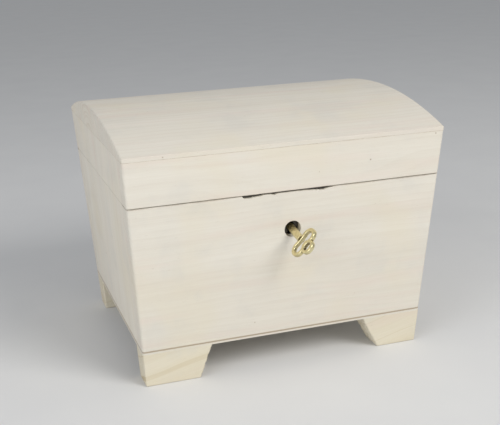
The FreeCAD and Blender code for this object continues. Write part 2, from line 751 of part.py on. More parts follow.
def make_lock_screws():
    screws = []
    shank_y = (less(INNER, "lock_screw_length"), INNER)
    head_face = plus(INNER, "lock_head_tall")
    slot_y = (less(head_face, "driver_deep"), plus(head_face, "overrun"))
    for index, (x, z) in enumerate(PLATE_SCREWS):
        shank = lock_rod("lock_shank%d" % index, "Sizes.screw_radius", x, shank_y, z)
        head = lock_rod("lock_head%d" % index, "Sizes.screw_head", x, (INNER, head_face), z)
        slot = lock_box(
            "lock_driver%d" % index,
            (less(x, "screw_head"), plus(x, "screw_head")),
            slot_y,
            ("%s - Sizes.driver_slot/2" % z, "%s + Sizes.driver_slot/2" % z),
        )
        blank = fuse("lock_screw_blank%d" % index, [shank, head])
        screws.append(cut("lock_screw%d" % index, blank, [slot]))
    group("lock_screw_set", screws, "lock_screws")


def make_strike():
    plate = box("strike_flat", FLANGE_X, FLANGE_Y, (LID_LOW, plus(LID_LOW, "plate_thick")))
    half = "Sizes.tongue_thick/2"
    depth = ("%s - %s" % (BOLT_MIDDLE, half), "%s + %s" % (BOLT_MIDDLE, half))
    tongue = lock_box("strike_tongue", TONGUE_X, depth, ("Sizes.tongue_low", "Sizes.tongue_high"))
    tools = [
        lock_box(
            "strike_catch",
            (plus(TONGUE_X[0], "tongue_web"), plus(TONGUE_X[1], "overrun")),
            (less(BOLT_MIDDLE, "overrun"), plus(BOLT_MIDDLE, "overrun")),
            ("Sizes.nose_low - Sizes.slide_gap", "Sizes.nose_low + Sizes.nose_tall + Sizes.slide_gap"),
        )
    ]
    screws = []
    for index, x in enumerate(STRIKE_SCREWS):
        base = (x, FLANGE_Y_MIDDLE, less(LID_LOW, "overrun"))
        sink_length = "Sizes.overrun + Sizes.head_tall + Sizes.sink_play"
        tools.append(rod("strike_hole%d" % index, HOLE, "2*Sizes.overrun", base, UP))
        tools.append(rod("strike_sink%d" % index, SINK, sink_length, base, UP))
        face = plus(LID_LOW, "sink_play")
        screws.append(upright_screw("strike_screw%d" % index, x, FLANGE_Y_MIDDLE, face, False))
    keep(cut("strike_cut", fuse("strike_blank", [plate, tongue]), tools), "strike_plate")
    group("strike_screw_set", screws, "strike_screws")


# ---------------------------------------------------------------- key
def key_placement():
    """Frame of the key: X across the bow, Y out along the stem, Z square to the bow."""
    pivot = FreeCAD.Vector(0, number(BOLT_MIDDLE), 0)
    droop = FreeCAD.Rotation(FreeCAD.Vector(1, 0, 0), size("key_lean"))
    hang = FreeCAD.Placement(FreeCAD.Vector(), droop, pivot)
    outward = FreeCAD.Rotation(FreeCAD.Vector(0, 1, 0), -size("key_angle"))
    turned = FreeCAD.Placement(FreeCAD.Vector(), outward)
    return LOCK.multiply(hang).multiply(turned)


def key_disc(name, radius, out, across, thick):
    """Disc of the bow; out is the distance from the board's face, across from the stem."""
    disc = doc.addObject("Part::Cylinder", name)
    disc.setExpression("Radius", radius)
    disc.setExpression("Height", thick)
    base = FreeCAD.Vector(number(across), -number(out), -number(thick) / 2)
    disc.Placement = FreeCAD.Placement(base, FreeCAD.Rotation())
    return disc


def key_block(name, across, out, thick):
    """Block of the bow between (min, max) expressions across and out."""
    block = doc.addObject("Part::Box", name)
    block.setExpression("Length", "(%s) - (%s)" % (across[1], across[0]))
    block.setExpression("Width", "(%s) - (%s)" % (out[1], out[0]))
    block.setExpression("Height", thick)
    base = FreeCAD.Vector(number(across[0]), -number(out[1]), -number(thick) / 2)
    block.Placement = FreeCAD.Placement(base, FreeCAD.Rotation())
    return block


def key_rod(name, radius, out):
    """Rod along the key's axis between two distances out from the board's face."""
    stem = doc.addObject("Part::Cylinder", name)
    stem.setExpression("Radius", radius)
    stem.setExpression("Height", "(%s) - (%s)" % (out[1], out[0]))
    base = FreeCAD.Vector(0, -number(out[0]), 0)
    turn = FreeCAD.Rotation(FreeCAD.Vector(0, 0, 1), FreeCAD.Vector(0, -1, 0))
    stem.Placement = FreeCAD.Placement(base, turn)
    return stem


def from_shoulder(alias):
    """Distance out from the board's face of a place given from the stem's shoulder."""
    return "Sizes.stem_out + Sizes." + alias


def make_bow():
    """Three lobes joined by a block, with a kidney-shaped window and an oval eye."""
    thick = "Sizes.bow_thick"
    lobe = "Sizes.lobe_radius"
    bridge_x = ("-Sizes.bridge_half", "Sizes.bridge_half")
    bridge_out = (from_shoulder("bridge_near"), from_shoulder("bridge_far"))
    plate = fuse("bow_plate", [
        key_disc("bow_upper", lobe, from_shoulder("lobe_out"), "Sizes.lobe_across", thick),
        key_disc("bow_lower", lobe, from_shoulder("lobe_out"), "-Sizes.lobe_across", thick),
        key_disc("bow_end", "Sizes.end_lobe_radius", from_shoulder("end_lobe_out"), "0", thick),
        key_block("bow_bridge", bridge_x, bridge_out, thick),
    ])
    wide = plus(thick, "overrun")
    hole = "Sizes.window_radius"
    neck_x = ("-Sizes.window_across", "Sizes.window_across")
    neck_out = (from_shoulder("neck_near"), from_shoulder("neck_far"))
    eye = "Sizes.eye_radius"
    eye_x = ("-Sizes.eye_across", "Sizes.eye_across")
    eye_out = (less(from_shoulder("eye_out"), "eye_radius"), plus(from_shoulder("eye_out"), "eye_radius"))
    windows = fuse("bow_windows", [
        key_disc("window_upper", hole, from_shoulder("window_out"), neck_x[1], wide),
        key_disc("window_lower", hole, from_shoulder("window_out"), neck_x[0], wide),
        key_block("window_neck", neck_x, neck_out, wide),
        key_disc("eye_upper", eye, from_shoulder("eye_out"), eye_x[1], wide),
        key_disc("eye_lower", eye, from_shoulder("eye_out"), eye_x[0], wide),
        key_block("eye_middle", eye_x, eye_out, wide),
    ])
    return cut("bow_cut", plate, [windows])


def rounded_bow():
    """The bow with the rims of both flat faces rounded, as cast and tumbled."""
    half = size("bow_thick") / 2

    def wanted(middle, edge):
        return abs(abs(middle.z) - half) < NEAR

    return round_edges("bow_round_cut", make_bow(), size("bow_round"), wanted)


def make_key():
    """The key, made lying in its own frame and then stood in the lock."""
    bow = rounded_bow()
    stem_end = "-(%s)" % less(PLATE_FACE, "stem_clear")
    stem = key_rod("stem_rod", "Sizes.stem_radius", (stem_end, from_shoulder("stem_lap")))
    bore = key_rod("stem_bore", "Sizes.key_bore", (less(stem_end, "overrun"), "-%s" % CASE_FACE))
    barrel = cut("stem_cut", stem, [bore])
    half = "Sizes.bit_width/2"
    bit_across = ("(Sizes.key_bore + Sizes.stem_radius)/2", "Sizes.bit_reach")
    bit_out = ("-%s - %s" % (BOLT_MIDDLE, half), "-%s + %s" % (BOLT_MIDDLE, half))
    bit = key_block("key_bit", bit_across, bit_out, "Sizes.bit_thick")
    key = fuse("key_solid", [bow, barrel, bit])
    keep(key, "key")
    key.setExpression("Placement.Base.y", None)
    stand = key_placement()
    key.Placement = stand
    key.setExpression("Placement.Base.y", "Sizes.outline_shift + (%r)" % stand.Base.y)


def set_outline_shift():
    """Middle of the outline, from the end of the key's bow to the hinge knuckles."""
    bow_end = number(plus(from_shoulder("end_lobe_out"), "end_lobe_radius"))
    front = key_placement().multVec(FreeCAD.Vector(0, -bow_end, 0)).y
    rear = number(plus(HINGE_AXIS_Y, "knuckle_radius"))
    row = len(SIZES) + 1
    sheet.set("A%d" % row, "outline_shift")
    sheet.set("B%d" % row, str(-(front + rear) / 2))
    sheet.setAlias("B%d" % row, "outline_shift")
    doc.recompute()


set_outline_shift()
for build in (
    make_front_board, make_back_board, make_end_boards, make_base, make_feet,
    make_lid_front_strip, make_lid_back_strip, make_dome, make_hinges, make_hinge_screws,
    make_lock_plate, make_lock_case, make_bolt, make_lock_studs, make_lock_screws,
    make_strike, make_key,
):
    build()

doc.recompute()

# ---------------------------------------------------------------- checks and output
for item in doc.Objects:
    if "Invalid" in item.State or "Error" in item.State:
        raise RuntimeError("did not build: " + item.Label)
for solid in NODES:
    if solid.Shape.isNull() or not solid.Shape.isValid() or not solid.Shape.Solids:
        raise RuntimeError("bad solid: " + solid.Label)

os.makedirs("parts", exist_ok=True)
for solid in NODES:
    solid.Shape.exportStep("parts/%s.step" % solid.Label)
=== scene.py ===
import math

import bmesh
import bpy
from mathutils import Matrix, Vector, noise


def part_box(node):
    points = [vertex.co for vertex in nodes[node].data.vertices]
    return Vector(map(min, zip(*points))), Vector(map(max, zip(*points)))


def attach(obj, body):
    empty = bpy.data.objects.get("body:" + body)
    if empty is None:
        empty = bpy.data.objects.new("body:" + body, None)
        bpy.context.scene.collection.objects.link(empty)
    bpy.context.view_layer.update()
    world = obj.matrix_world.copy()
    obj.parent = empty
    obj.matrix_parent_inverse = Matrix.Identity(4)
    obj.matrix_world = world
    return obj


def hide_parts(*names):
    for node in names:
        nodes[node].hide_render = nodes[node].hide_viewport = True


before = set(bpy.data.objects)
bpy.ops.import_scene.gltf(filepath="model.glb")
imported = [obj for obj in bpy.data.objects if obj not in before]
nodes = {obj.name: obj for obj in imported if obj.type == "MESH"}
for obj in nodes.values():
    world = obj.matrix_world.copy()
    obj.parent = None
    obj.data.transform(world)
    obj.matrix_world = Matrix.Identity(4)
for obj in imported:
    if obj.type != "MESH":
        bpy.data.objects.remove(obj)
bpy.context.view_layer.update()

# The base panel is symmetric about the box's own middle; places below are in
# millimetres from there.
base_low, base_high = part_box("base_panel")
MIDDLE = Vector(((base_low.x + base_high.x) / 2, (base_low.y + base_high.y) / 2, 0))
MM = 0.001


def place(x, y, z):
    """A point given in millimetres from the middle of the box, in the row frame."""
    return MIDDLE + Vector((x, y, z)) * MM


# ---------------------------------------------------------------- node helpers
class Graph:
    """Writes the node tree of one material."""

    def __init__(self, name):
        self.material = bpy.data.materials.new(name)
        self.material.use_nodes = True
        self.tree = self.material.node_tree
        self.tree.nodes.clear()
        self.output = self.node("ShaderNodeOutputMaterial")
        self.shader = self.node("ShaderNodeBsdfPrincipled")
        self.join(self.shader.outputs["BSDF"], self.output.inputs["Surface"])
        texture = self.node("ShaderNodeTexCoord")
        self.normal = texture.outputs["Normal"]
        shifted = self.vector("SUBTRACT", texture.outputs["Object"], tuple(MIDDLE))
        self.point = self.vector("SCALE", shifted, scale=1 / MM)
        parts = self.node("ShaderNodeSeparateXYZ")
        self.join(self.point, parts.inputs[0])
        self.x, self.y, self.z = parts.outputs[0], parts.outputs[1], parts.outputs[2]

    def node(self, kind, **settings):
        made = self.tree.nodes.new(kind)
        for key, value in settings.items():
            setattr(made, key, value)
        return made

    def join(self, value, socket):
        """Feeds a socket from another one, or sets it to a number, tuple or colour."""
        if isinstance(value, bpy.types.NodeSocket):
            self.tree.links.new(value, socket)
        else:
            socket.default_value = value

    def vector(self, operation, first, second=None, scale=None):
        made = self.node("ShaderNodeVectorMath", operation=operation)
        self.join(first, made.inputs[0])
        if second is not None:
            self.join(second, made.inputs[1])
        if scale is not None:
            self.join(scale, made.inputs["Scale"])
        return made.outputs["Value" if operation in ("LENGTH", "DOT_PRODUCT") else "Vector"]

    def math(self, operation, first, second=None, clamp=False):
        made = self.node("ShaderNodeMath", operation=operation, use_clamp=clamp)
        self.join(first, made.inputs[0])
        if second is not None:
            self.join(second, made.inputs[1])
        return made.outputs[0]

    def noise(self, point, scale, detail, roughness):
        made = self.node("ShaderNodeTexNoise")
        self.join(point, made.inputs["Vector"])
        made.inputs["Scale"].default_value = scale
        made.inputs["Detail"].default_value = detail
        made.inputs["Roughness"].default_value = roughness
        return made.outputs["Fac"]

    def span(self, value, low, high, out_low=0.0, out_high=1.0, smooth=True):
        """Maps a value's range onto another, clamped."""
        made = self.node("ShaderNodeMapRange", clamp=True)
        made.interpolation_type = "SMOOTHSTEP" if smooth else "LINEAR"
        for socket, number in zip(made.inputs[:5], (value, low, high, out_low, out_high)):
            self.join(number, socket)
        return made.outputs["Result"]

    def mix(self, factor, first, second):
        made = self.node("ShaderNodeMix", data_type="RGBA", blend_type="MIX")
        made.clamp_factor = True
        self.join(factor, made.inputs["Factor"])
        self.join(first, made.inputs["A"])
        self.join(second, made.inputs["B"])
        return made.outputs["Result"]

    def combine(self, x, y, z):
        made = self.node("ShaderNodeCombineXYZ")
        for value, socket in zip((x, y, z), made.inputs):
            self.join(value, socket)
        return made.outputs[0]

    def share(self, value, amount):
        """A mask at part of its strength."""
        return self.math("MULTIPLY", value, amount)

    def rounded(self, radius):
        """The surface's normal as if its edges were rounded; radius in mm."""
        bevel = self.node("ShaderNodeBevel", samples=6)
        bevel.inputs["Radius"].default_value = radius * MM
        return bevel.outputs[0]

    def edges(self, radius):
        """About 1 on sharp outside and inside edges, 0 on flat faces; radius in mm."""
        rounded = self.rounded(radius)
        plain = self.node("ShaderNodeNewGeometry")
        same = self.vector("DOT_PRODUCT", rounded, plain.outputs["Normal"])
        return self.span(self.math("SUBTRACT", 1.0, same), 0.003, 0.12)

    def facing(self):
        """The x, y and z of the surface's normal."""
        parts = self.node("ShaderNodeSeparateXYZ")
        self.join(self.normal, parts.inputs[0])
        return parts.outputs

    def bump(self, height, distance, strength, normal=None):
        made = self.node("ShaderNodeBump")
        made.inputs["Strength"].default_value = strength
        made.inputs["Distance"].default_value = distance * MM
        self.join(height, made.inputs["Height"])
        if normal is not None:
            self.join(normal, made.inputs["Normal"])
        return made.outputs[0]

    def finish(self, **sockets):
        for name, value in sockets.items():
            self.join(value, self.shader.inputs[name.replace("_", " ")])
        return self.material


def linear(red, green, blue):
    """A display colour, 0 to 255, as a linear one with alpha."""
    def channel(value):
        value /= 255
        return value / 12.92 if value <= 0.04045 else ((value + 0.055) / 1.055) ** 2.4
    return (channel(red), channel(green), channel(blue), 1.0)


# ---------------------------------------------------------------- wood
GRAIN = {"x": ("x", "y", "z"), "z": ("z", "x", "y")}
RING_WANDER = 14.0      # how far growth rings stray along the grain, mm
RING_UNEVEN = 1.6       # how much ring widths vary, in rings
END_RINGS = 3.0         # growth rings on end grain, against those on long grain
GROUND_TONE = 0.22      # late wood's share in the plain ground colour
PLY_SOFT = 0.2          # half width over which one ply's colour gives way to the next, mm
WORN_EDGE = 0.6         # width of the paler, crumbled edges, mm
SOFT_EDGE = 0.3         # radius to which sharp edges look eased, mm
PINKISH = linear(225, 208, 196)
YELLOWISH = linear(226, 216, 190)
GREYISH = linear(205, 203, 197)
PORE = linear(168, 148, 118)
END_PORE = linear(150, 136, 108)
FLECK = linear(158, 134, 104)
MARK = linear(140, 112, 82)
FRESH_EDGE = linear(238, 233, 218)


def level_of(node, corner):
    """Height of a node's lower (0) or upper (1) end, in mm."""
    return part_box(node)[corner].z / MM


RIM = level_of("front_board", 1)
LID_LOW = level_of("lid_front_strip", 0)
SEAM = level_of("lid_front_strip", 1)
PANEL_LOW = level_of("base_panel", 0)


def wood(name, grain, pith, pale, deep, rings=2.6, ring_depth=0.10, line=0.35, tilt=0.0,
         seed=0.0, warm=0.3, torn=0.14, marks=(), levels=(), plies=()):
    """Bare sanded wood with its fibres along one axis.

    pith is the centre of the growth rings across the other two axes, in mm. pale and
    deep are the early and late wood, rings their spacing in mm and line where in each
    ring the late wood starts. tilt turns the fibres in the upright plane, in degrees.
    seed moves the whole figure, warm is how far its colour shifts and torn how dark the
    pores of its end grain are. marks are (x, y, z, radius) of small dark flecks; levels
    are (height, half height, strength, colour) of thin dark lines at joints: glue lines, and
    beside the lid's gap saw-burnt wood with painted shade of the gap; plies are (low, high,
    colour).
    """
    g = Graph(name)
    point = g.point
    if tilt:
        turned = g.node("ShaderNodeVectorRotate", rotation_type="Y_AXIS")
        g.join(point, turned.inputs["Vector"])
        turned.inputs["Angle"].default_value = math.radians(tilt)
        point = turned.outputs[0]
    parts = g.node("ShaderNodeSeparateXYZ")
    g.join(point, parts.inputs[0])
    axes = dict(zip("xyz", parts.outputs))
    along, first, second = (axes[letter] for letter in GRAIN[grain])
    moved = g.vector("ADD", point, (seed, seed * 1.7, seed * 2.3))

    def stretched(cross, length, detail, roughness, shift=11.0):
        """Noise drawn out along the grain."""
        scaled = g.combine(
            g.math("MULTIPLY", along, length),
            g.math("MULTIPLY", first, cross),
            g.math("MULTIPLY", second, cross),
        )
        scaled = g.vector("ADD", scaled, (seed * 3.0, seed, shift))
        return g.noise(scaled, 1.0, detail, roughness)

    # growth rings; the trunk is not straight, so they wander slowly along the grain
    stray = g.math("SUBTRACT", stretched(0.02, 0.009, 2.0, 0.5, 3.1), 0.5)
    wander = g.share(stray, RING_WANDER)
    across = g.vector("SUBTRACT", g.combine(first, second, 0.0), (pith[0], pith[1], 0.0))
    radius = g.math("ADD", g.vector("LENGTH", across), wander)
    uneven = g.noise(g.combine(g.math("MULTIPLY", radius, 0.23), 0.0, seed), 1.0, 1.0, 0.5)
    turn = g.math("ADD", g.math("DIVIDE", radius, rings), g.share(uneven, RING_UNEVEN))
    phase = g.math("FRACT", turn)
    late = g.math("SUBTRACT", g.span(phase, line, 0.95), g.span(phase, 0.95, 1.0))
    fibre = stretched(1.3, 0.045, 3.0, 0.6)
    hair = stretched(4.5, 0.16, 2.0, 0.7)
    band = stretched(0.10, 0.006, 2.0, 0.5)
    # end grain shows where the surface faces along the fibres
    facing = g.facing()
    ends = g.span(g.math("ABSOLUTE", facing["xyz".index(grain)]), 0.75, 0.95)
    upright = g.span(g.math("ABSOLUTE", facing[2]), 0.9, 0.6)
    depth = g.span(ends, 0.0, 1.0, ring_depth, ring_depth * END_RINGS, smooth=False)
    tone = g.math("MULTIPLY", late, depth)
    for layer, share in ((fibre, 0.38), (hair, 0.24), (band, 0.62)):
        tone = g.math("ADD", tone, g.share(g.math("SUBTRACT", layer, 0.5), share))
    tone = g.math("ADD", tone, GROUND_TONE, clamp=True)
    colour = g.mix(tone, pale, deep)
    # slow shifts between pinkish, yellowish and greyish wood
    tints = (
        (stretched(0.16, 0.010, 2.0, 0.5, 23.0), warm, PINKISH),
        (g.noise(moved, 0.030, 2.0, 0.5), warm, YELLOWISH),
        (g.noise(moved, 0.048, 3.0, 0.6), 0.24, GREYISH),
    )
    for layer, share, tint in tints:
        colour = g.mix(g.share(g.span(layer, 0.47, 0.72), share), colour, tint)
    # open pores, short dashes along the grain
    pores = g.span(stretched(3.4, 0.5, 1.0, 0.4, 41.0), 0.70, 0.80)
    colour = g.mix(g.share(pores, 0.16), colour, PORE)
    end_pores = g.span(g.noise(moved, 2.6, 2.0, 0.6), 0.45, 0.65)
    end_pores = g.math("MULTIPLY", end_pores, ends)
    colour = g.mix(g.share(end_pores, torn), colour, END_PORE)
    fleck = g.span(g.noise(moved, 0.42, 1.0, 0.3), 0.815, 0.85)
    colour = g.mix(g.share(fleck, 0.40), colour, FLECK)
    for low, high, tint in plies:
        edge_noise = g.share(g.math("SUBTRACT", g.noise(moved, 0.5, 3.0, 0.6), 0.5), 0.25)
        level = g.math("ADD", g.z, edge_noise)
        inside = g.math(
            "MULTIPLY",
            g.span(level, low - PLY_SOFT, low + PLY_SOFT),
            g.span(level, high + PLY_SOFT, high - PLY_SOFT),
        )
        colour = g.mix(g.share(inside, 0.85), colour, tint)
    # thin dark lines at joints, on upright faces only: glue lines are real, while beside the
    # lid's gap the brown is partly saw-burnt wood and partly painted shade of the gap
    for height, half, share, tint in levels:
        away = g.math("ABSOLUTE", g.math("SUBTRACT", g.z, height))
        patchy = g.span(g.noise(moved, 0.11, 3.0, 0.6), 0.38, 0.60, 0.25, 1.0)
        near = g.math("MULTIPLY", g.span(away, half, half * 0.25), patchy)
        near = g.math("MULTIPLY", near, upright)
        colour = g.mix(g.share(near, share), colour, tint)
    for x, y, z, size in marks:
        away = g.vector("LENGTH", g.vector("SUBTRACT", g.point, (x, y, z)))
        ragged = g.math("ADD", away, g.share(g.noise(moved, 1.4, 2.0, 0.5), size * 0.8))
        spot = g.span(ragged, size * 1.5, size * 0.9)
        colour = g.mix(g.share(spot, 0.55), colour, MARK)
    # sanded edges are a little paler, and crumble in places
    edge = g.edges(WORN_EDGE)
    chipped = g.math("MULTIPLY", edge, g.span(g.noise(moved, 0.9, 3.0, 0.7), 0.35, 0.65))
    colour = g.mix(g.share(chipped, 0.45), colour, FRESH_EDGE)
    relief = g.math("ADD", g.share(fibre, 0.6), g.share(hair, 0.6))
    relief = g.math("SUBTRACT", relief, g.share(pores, 0.5))
    relief = g.math("ADD", relief, g.share(g.noise(moved, 0.12, 2.0, 0.5), 1.2))
    normal = g.bump(relief, 0.05, 0.45, g.rounded(SOFT_EDGE))
    rough = g.math("ADD", 0.60, g.share(fibre, 0.24))
    return g.finish(Base_Color=colour, Roughness=rough, Normal=normal, Specular_IOR_Level=0.25)


# ---------------------------------------------------------------- metal
WINDOW_REACH = 6.0      # how near a facing wall keeps the light out, mm
TARNISH = linear(150, 118, 58)
BRIGHT_BRASS = linear(246, 238, 196)
# brown of the painted shade and painted dark-floor reflection on the key
SHADE_PAINT = linear(84, 62, 28)
RUST = linear(96, 78, 58)


def brass(name, bright, dull, shine, hollow=0.0):
    """Cast brass; hollow is how far painted shade darkens the places that little light reaches
    and the faces turned down.
    """
    g = Graph(name)
    patina = g.noise(g.point, 0.55, 4.0, 0.6)
    fine = g.noise(g.point, 4.0, 3.0, 0.6)
    colour = g.mix(g.share(g.span(patina, 0.35, 0.7), 0.6), bright, dull)
    colour = g.mix(g.share(g.span(fine, 0.55, 0.8), 0.2), colour, TARNISH)
    colour = g.mix(g.share(g.edges(0.4), 0.45), colour, BRIGHT_BRASS)
    if hollow:
        # painted shade: darker where a near wall keeps the light out, and on faces turned down
        # a painted reflection of a dark floor
        shut = g.node("ShaderNodeAmbientOcclusion", samples=12, only_local=True)
        shut.inputs["Distance"].default_value = WINDOW_REACH * MM
        under = g.share(g.span(g.facing()[2], -0.35, -0.95), 0.6)
        painted_dark = g.math("MAXIMUM", g.span(shut.outputs["AO"], 0.90, 0.55), under)
        colour = g.mix(g.share(painted_dark, hollow), colour, SHADE_PAINT)
    rough = g.math("ADD", shine, g.share(patina, 0.14))
    rough = g.math("ADD", rough, g.share(fine, 0.06))
    normal = g.bump(g.noise(g.point, 1.4, 2.0, 0.5), 0.04, 0.4, g.rounded(SOFT_EDGE))
    return g.finish(Base_Color=colour, Roughness=rough, Normal=normal, Metallic=1.0)


def steel(name, bright, dull):
    """Brushed sheet steel with some brown stain."""
    g = Graph(name)
    stain = g.noise(g.point, 0.35, 4.0, 0.65)
    brushed = g.noise(g.vector("MULTIPLY", g.point, (0.4, 6.0, 6.0)), 1.0, 3.0, 0.6)
    colour = g.mix(stain, bright, dull)
    colour = g.mix(g.share(g.span(stain, 0.58, 0.8), 0.3), colour, RUST)
    colour = g.mix(g.share(g.edges(0.3), 0.35), colour, bright)
    rough = g.math("ADD", 0.34, g.share(brushed, 0.25))
    normal = g.bump(brushed, 0.03, 0.4)
    return g.finish(Base_Color=colour, Roughness=rough, Normal=normal, Metallic=1.0)


PALE = linear(230, 225, 213)
DEEP = linear(210, 200, 184)
FOOT_PALE = linear(229, 222, 203)
FOOT_DEEP = linear(205, 190, 156)
BROWN = linear(128, 96, 66)
PLY_BROWN = linear(166, 148, 124)
# beside the gap between lid and body: partly saw-burnt wood, partly painted shade of the gap
JOINT = ((RIM, 0.5, 0.45, BROWN), (LID_LOW, 0.4, 0.35, BROWN))
GLUE = (SEAM, 0.22, 0.55, linear(170, 146, 116))
SIDE_GLUE = (SEAM, 0.2, 0.2, linear(170, 146, 116))
INNER_PLY = (PANEL_LOW + 0.95, PANEL_LOW + 1.75, PLY_BROWN)

FRONT = wood("wood_front", "x", (240.0, -160.0), PALE, DEEP, seed=1.0, levels=JOINT)
BACK = wood("wood_back", "x", (-180.0, 220.0), PALE, DEEP, seed=9.0, levels=JOINT)
SIDE_LEFT = wood("wood_left", "z", (-260.0, 30.0), PALE, DEEP, seed=14.0, levels=(SIDE_GLUE,))
SIDE_RIGHT = wood("wood_right", "z", (250.0, -50.0), PALE, DEEP, seed=21.0, levels=(SIDE_GLUE,))
DOME = wood(
    "wood_dome", "x", (12.0, 96.0), PALE, DEEP, rings=2.8, ring_depth=0.14, seed=27.0,
    levels=(GLUE,), marks=((60.0, -58.0, 117.0, 0.5), (-58.4, -70.2, 111.2, 0.5)),
)
STRIP = wood(
    "wood_strip", "x", (260.0, 10.0), PALE, DEEP, seed=33.0, levels=(JOINT[1], GLUE),
    marks=((39.1, -69.1, 99.8, 0.5), (72.0, -70.0, 109.3, 0.5)),
)
FOOT = wood(
    "wood_foot", "x", (40.0, 225.0), FOOT_PALE, FOOT_DEEP, rings=12.0, ring_depth=0.30,
    line=0.86, tilt=13.0, seed=40.0, warm=0.3, torn=0.45,
)
PLY = wood("wood_ply", "x", (-300.0, 40.0), PALE, DEEP, seed=5.0, plies=(INNER_PLY,))
HINGE = brass("hinge_brass", linear(226, 196, 120), linear(196, 160, 84), 0.22)
KEY = brass("key_brass", linear(236, 226, 180), linear(214, 198, 146), 0.18, hollow=0.9)
SCREW = brass("screw_brass", linear(220, 188, 112), linear(180, 146, 78), 0.24)
STEEL = steel("steel", linear(168, 168, 168), linear(120, 120, 122))
DARK_STEEL = steel("lock_steel", linear(116, 112, 106), linear(74, 71, 67))

FINISH = {
    "front_board": FRONT,
    "back_board": BACK,
    "left_side_board": SIDE_LEFT,
    "right_side_board": SIDE_RIGHT,
    "lid_left_strip": SIDE_LEFT,
    "lid_right_strip": SIDE_RIGHT,
    "lid_front_strip": STRIP,
    "lid_back_strip": STRIP,
    "dome_block": DOME,
    "base_panel": PLY,
}
for name, node in nodes.items():
    if name in FINISH:
        material = FINISH[name]
    elif name.startswith("foot"):
        material = FOOT
    elif name.startswith("hinge_screws"):
        material = SCREW
    elif name in ("lock_plate", "lock_case"):
        material = DARK_STEEL
    elif name.startswith(("hinge_pin", "lock", "strike", "bolt", "key_post")):
        material = STEEL
    elif name.startswith("hinge"):
        material = HINGE
    else:
        material = KEY
    node.data.materials.clear()
    node.data.materials.append(material)

# ---------------------------------------------------------------- worn pieces
noise.seed_set(7)
CUT_WELD = 0.0005       # corners nearer than this are joined after a cut, mm
PLAIN_WELD = 0.01       # corners nearer than this are one corner of the plain piece, mm

# the torn edge over the lock; depths in mm, places as shares of the slit's length
NOTCH_STEPS = 90
NOTCH_PAST = 0.3        # how far the slit goes past the lock's plate at either end
NOTCH_BEHIND = 0.2      # how far it goes behind the plate's front face
NOTCH_OUT = 1.0         # how far the cut starts in front of the board and over its rim
LEFT_TORN = 0.26        # the left end is torn out up to here
RIGHT_TORN = 0.66       # and the right end from here on
LEFT_TAPER, RIGHT_TAPER = 0.02, 0.10
EVEN_DEPTH, END_DEPTH = 0.42, 0.80
LEAST_DEPTH = 0.01
BACK_STEP = 0.1         # how much less deep the slit is at its back
LONG_JAG, LONG_DEPTH = 13, 0.18
SHORT_JAG, SHORT_DEPTH = 46, 0.30
SPLINTER_AT, SPLINTER_WIDE, SPLINTER_DEPTH = 0.35, 0.03, 0.45

# the sawn inner ends of the feet, in mm
SAWN_FACET = 0.9        # longest edge of the mesh
SAWN_ROUNDS = 7
SAWN_REACH = 1.6        # how far in from the sawn face the wood is torn
SAWN_DEPTH, SAWN_VARIES = 0.25, 0.80
SAWN_LEVEL = 0.05       # how near the top or the bottom a corner counts as on it


def worked_copy(node, name, body):
    """A new piece with a CAD node's shape, shown in its place."""
    piece = bpy.data.objects.new(name, nodes[node].data.copy())
    piece.data.name = name
    bpy.context.collection.objects.link(piece)
    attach(piece, body)
    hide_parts(node)
    return piece


def cut_away(piece, cutter_mesh):
    """Takes a closed mesh out of a piece."""
    cutter = bpy.data.objects.new("cutter", cutter_mesh)
    bpy.context.collection.objects.link(cutter)
    carve = piece.modifiers.new("carve", "BOOLEAN")
    carve.operation = "DIFFERENCE"
    carve.solver = "EXACT"
    carve.object = cutter
    bpy.context.view_layer.update()
    evaluated = piece.evaluated_get(bpy.context.evaluated_depsgraph_get())
    shaped = bpy.data.meshes.new_from_object(evaluated)
    piece.modifiers.clear()
    bpy.data.objects.remove(cutter)
    shape = bmesh.new()
    shape.from_mesh(shaped)
    bmesh.ops.remove_doubles(shape, verts=shape.verts, dist=CUT_WELD * MM)
    bmesh.ops.triangulate(shape, faces=shape.faces)
    for face in shape.faces:
        face.material_index = 0
        face.smooth = False
    plain = bpy.data.meshes.new(piece.name)
    shape.to_mesh(plain)
    shape.free()
    plain.materials.append(piece.data.materials[0])
    if "custom_normal" in plain.attributes:
        plain.attributes.remove(plain.attributes["custom_normal"])
    piece.data = plain


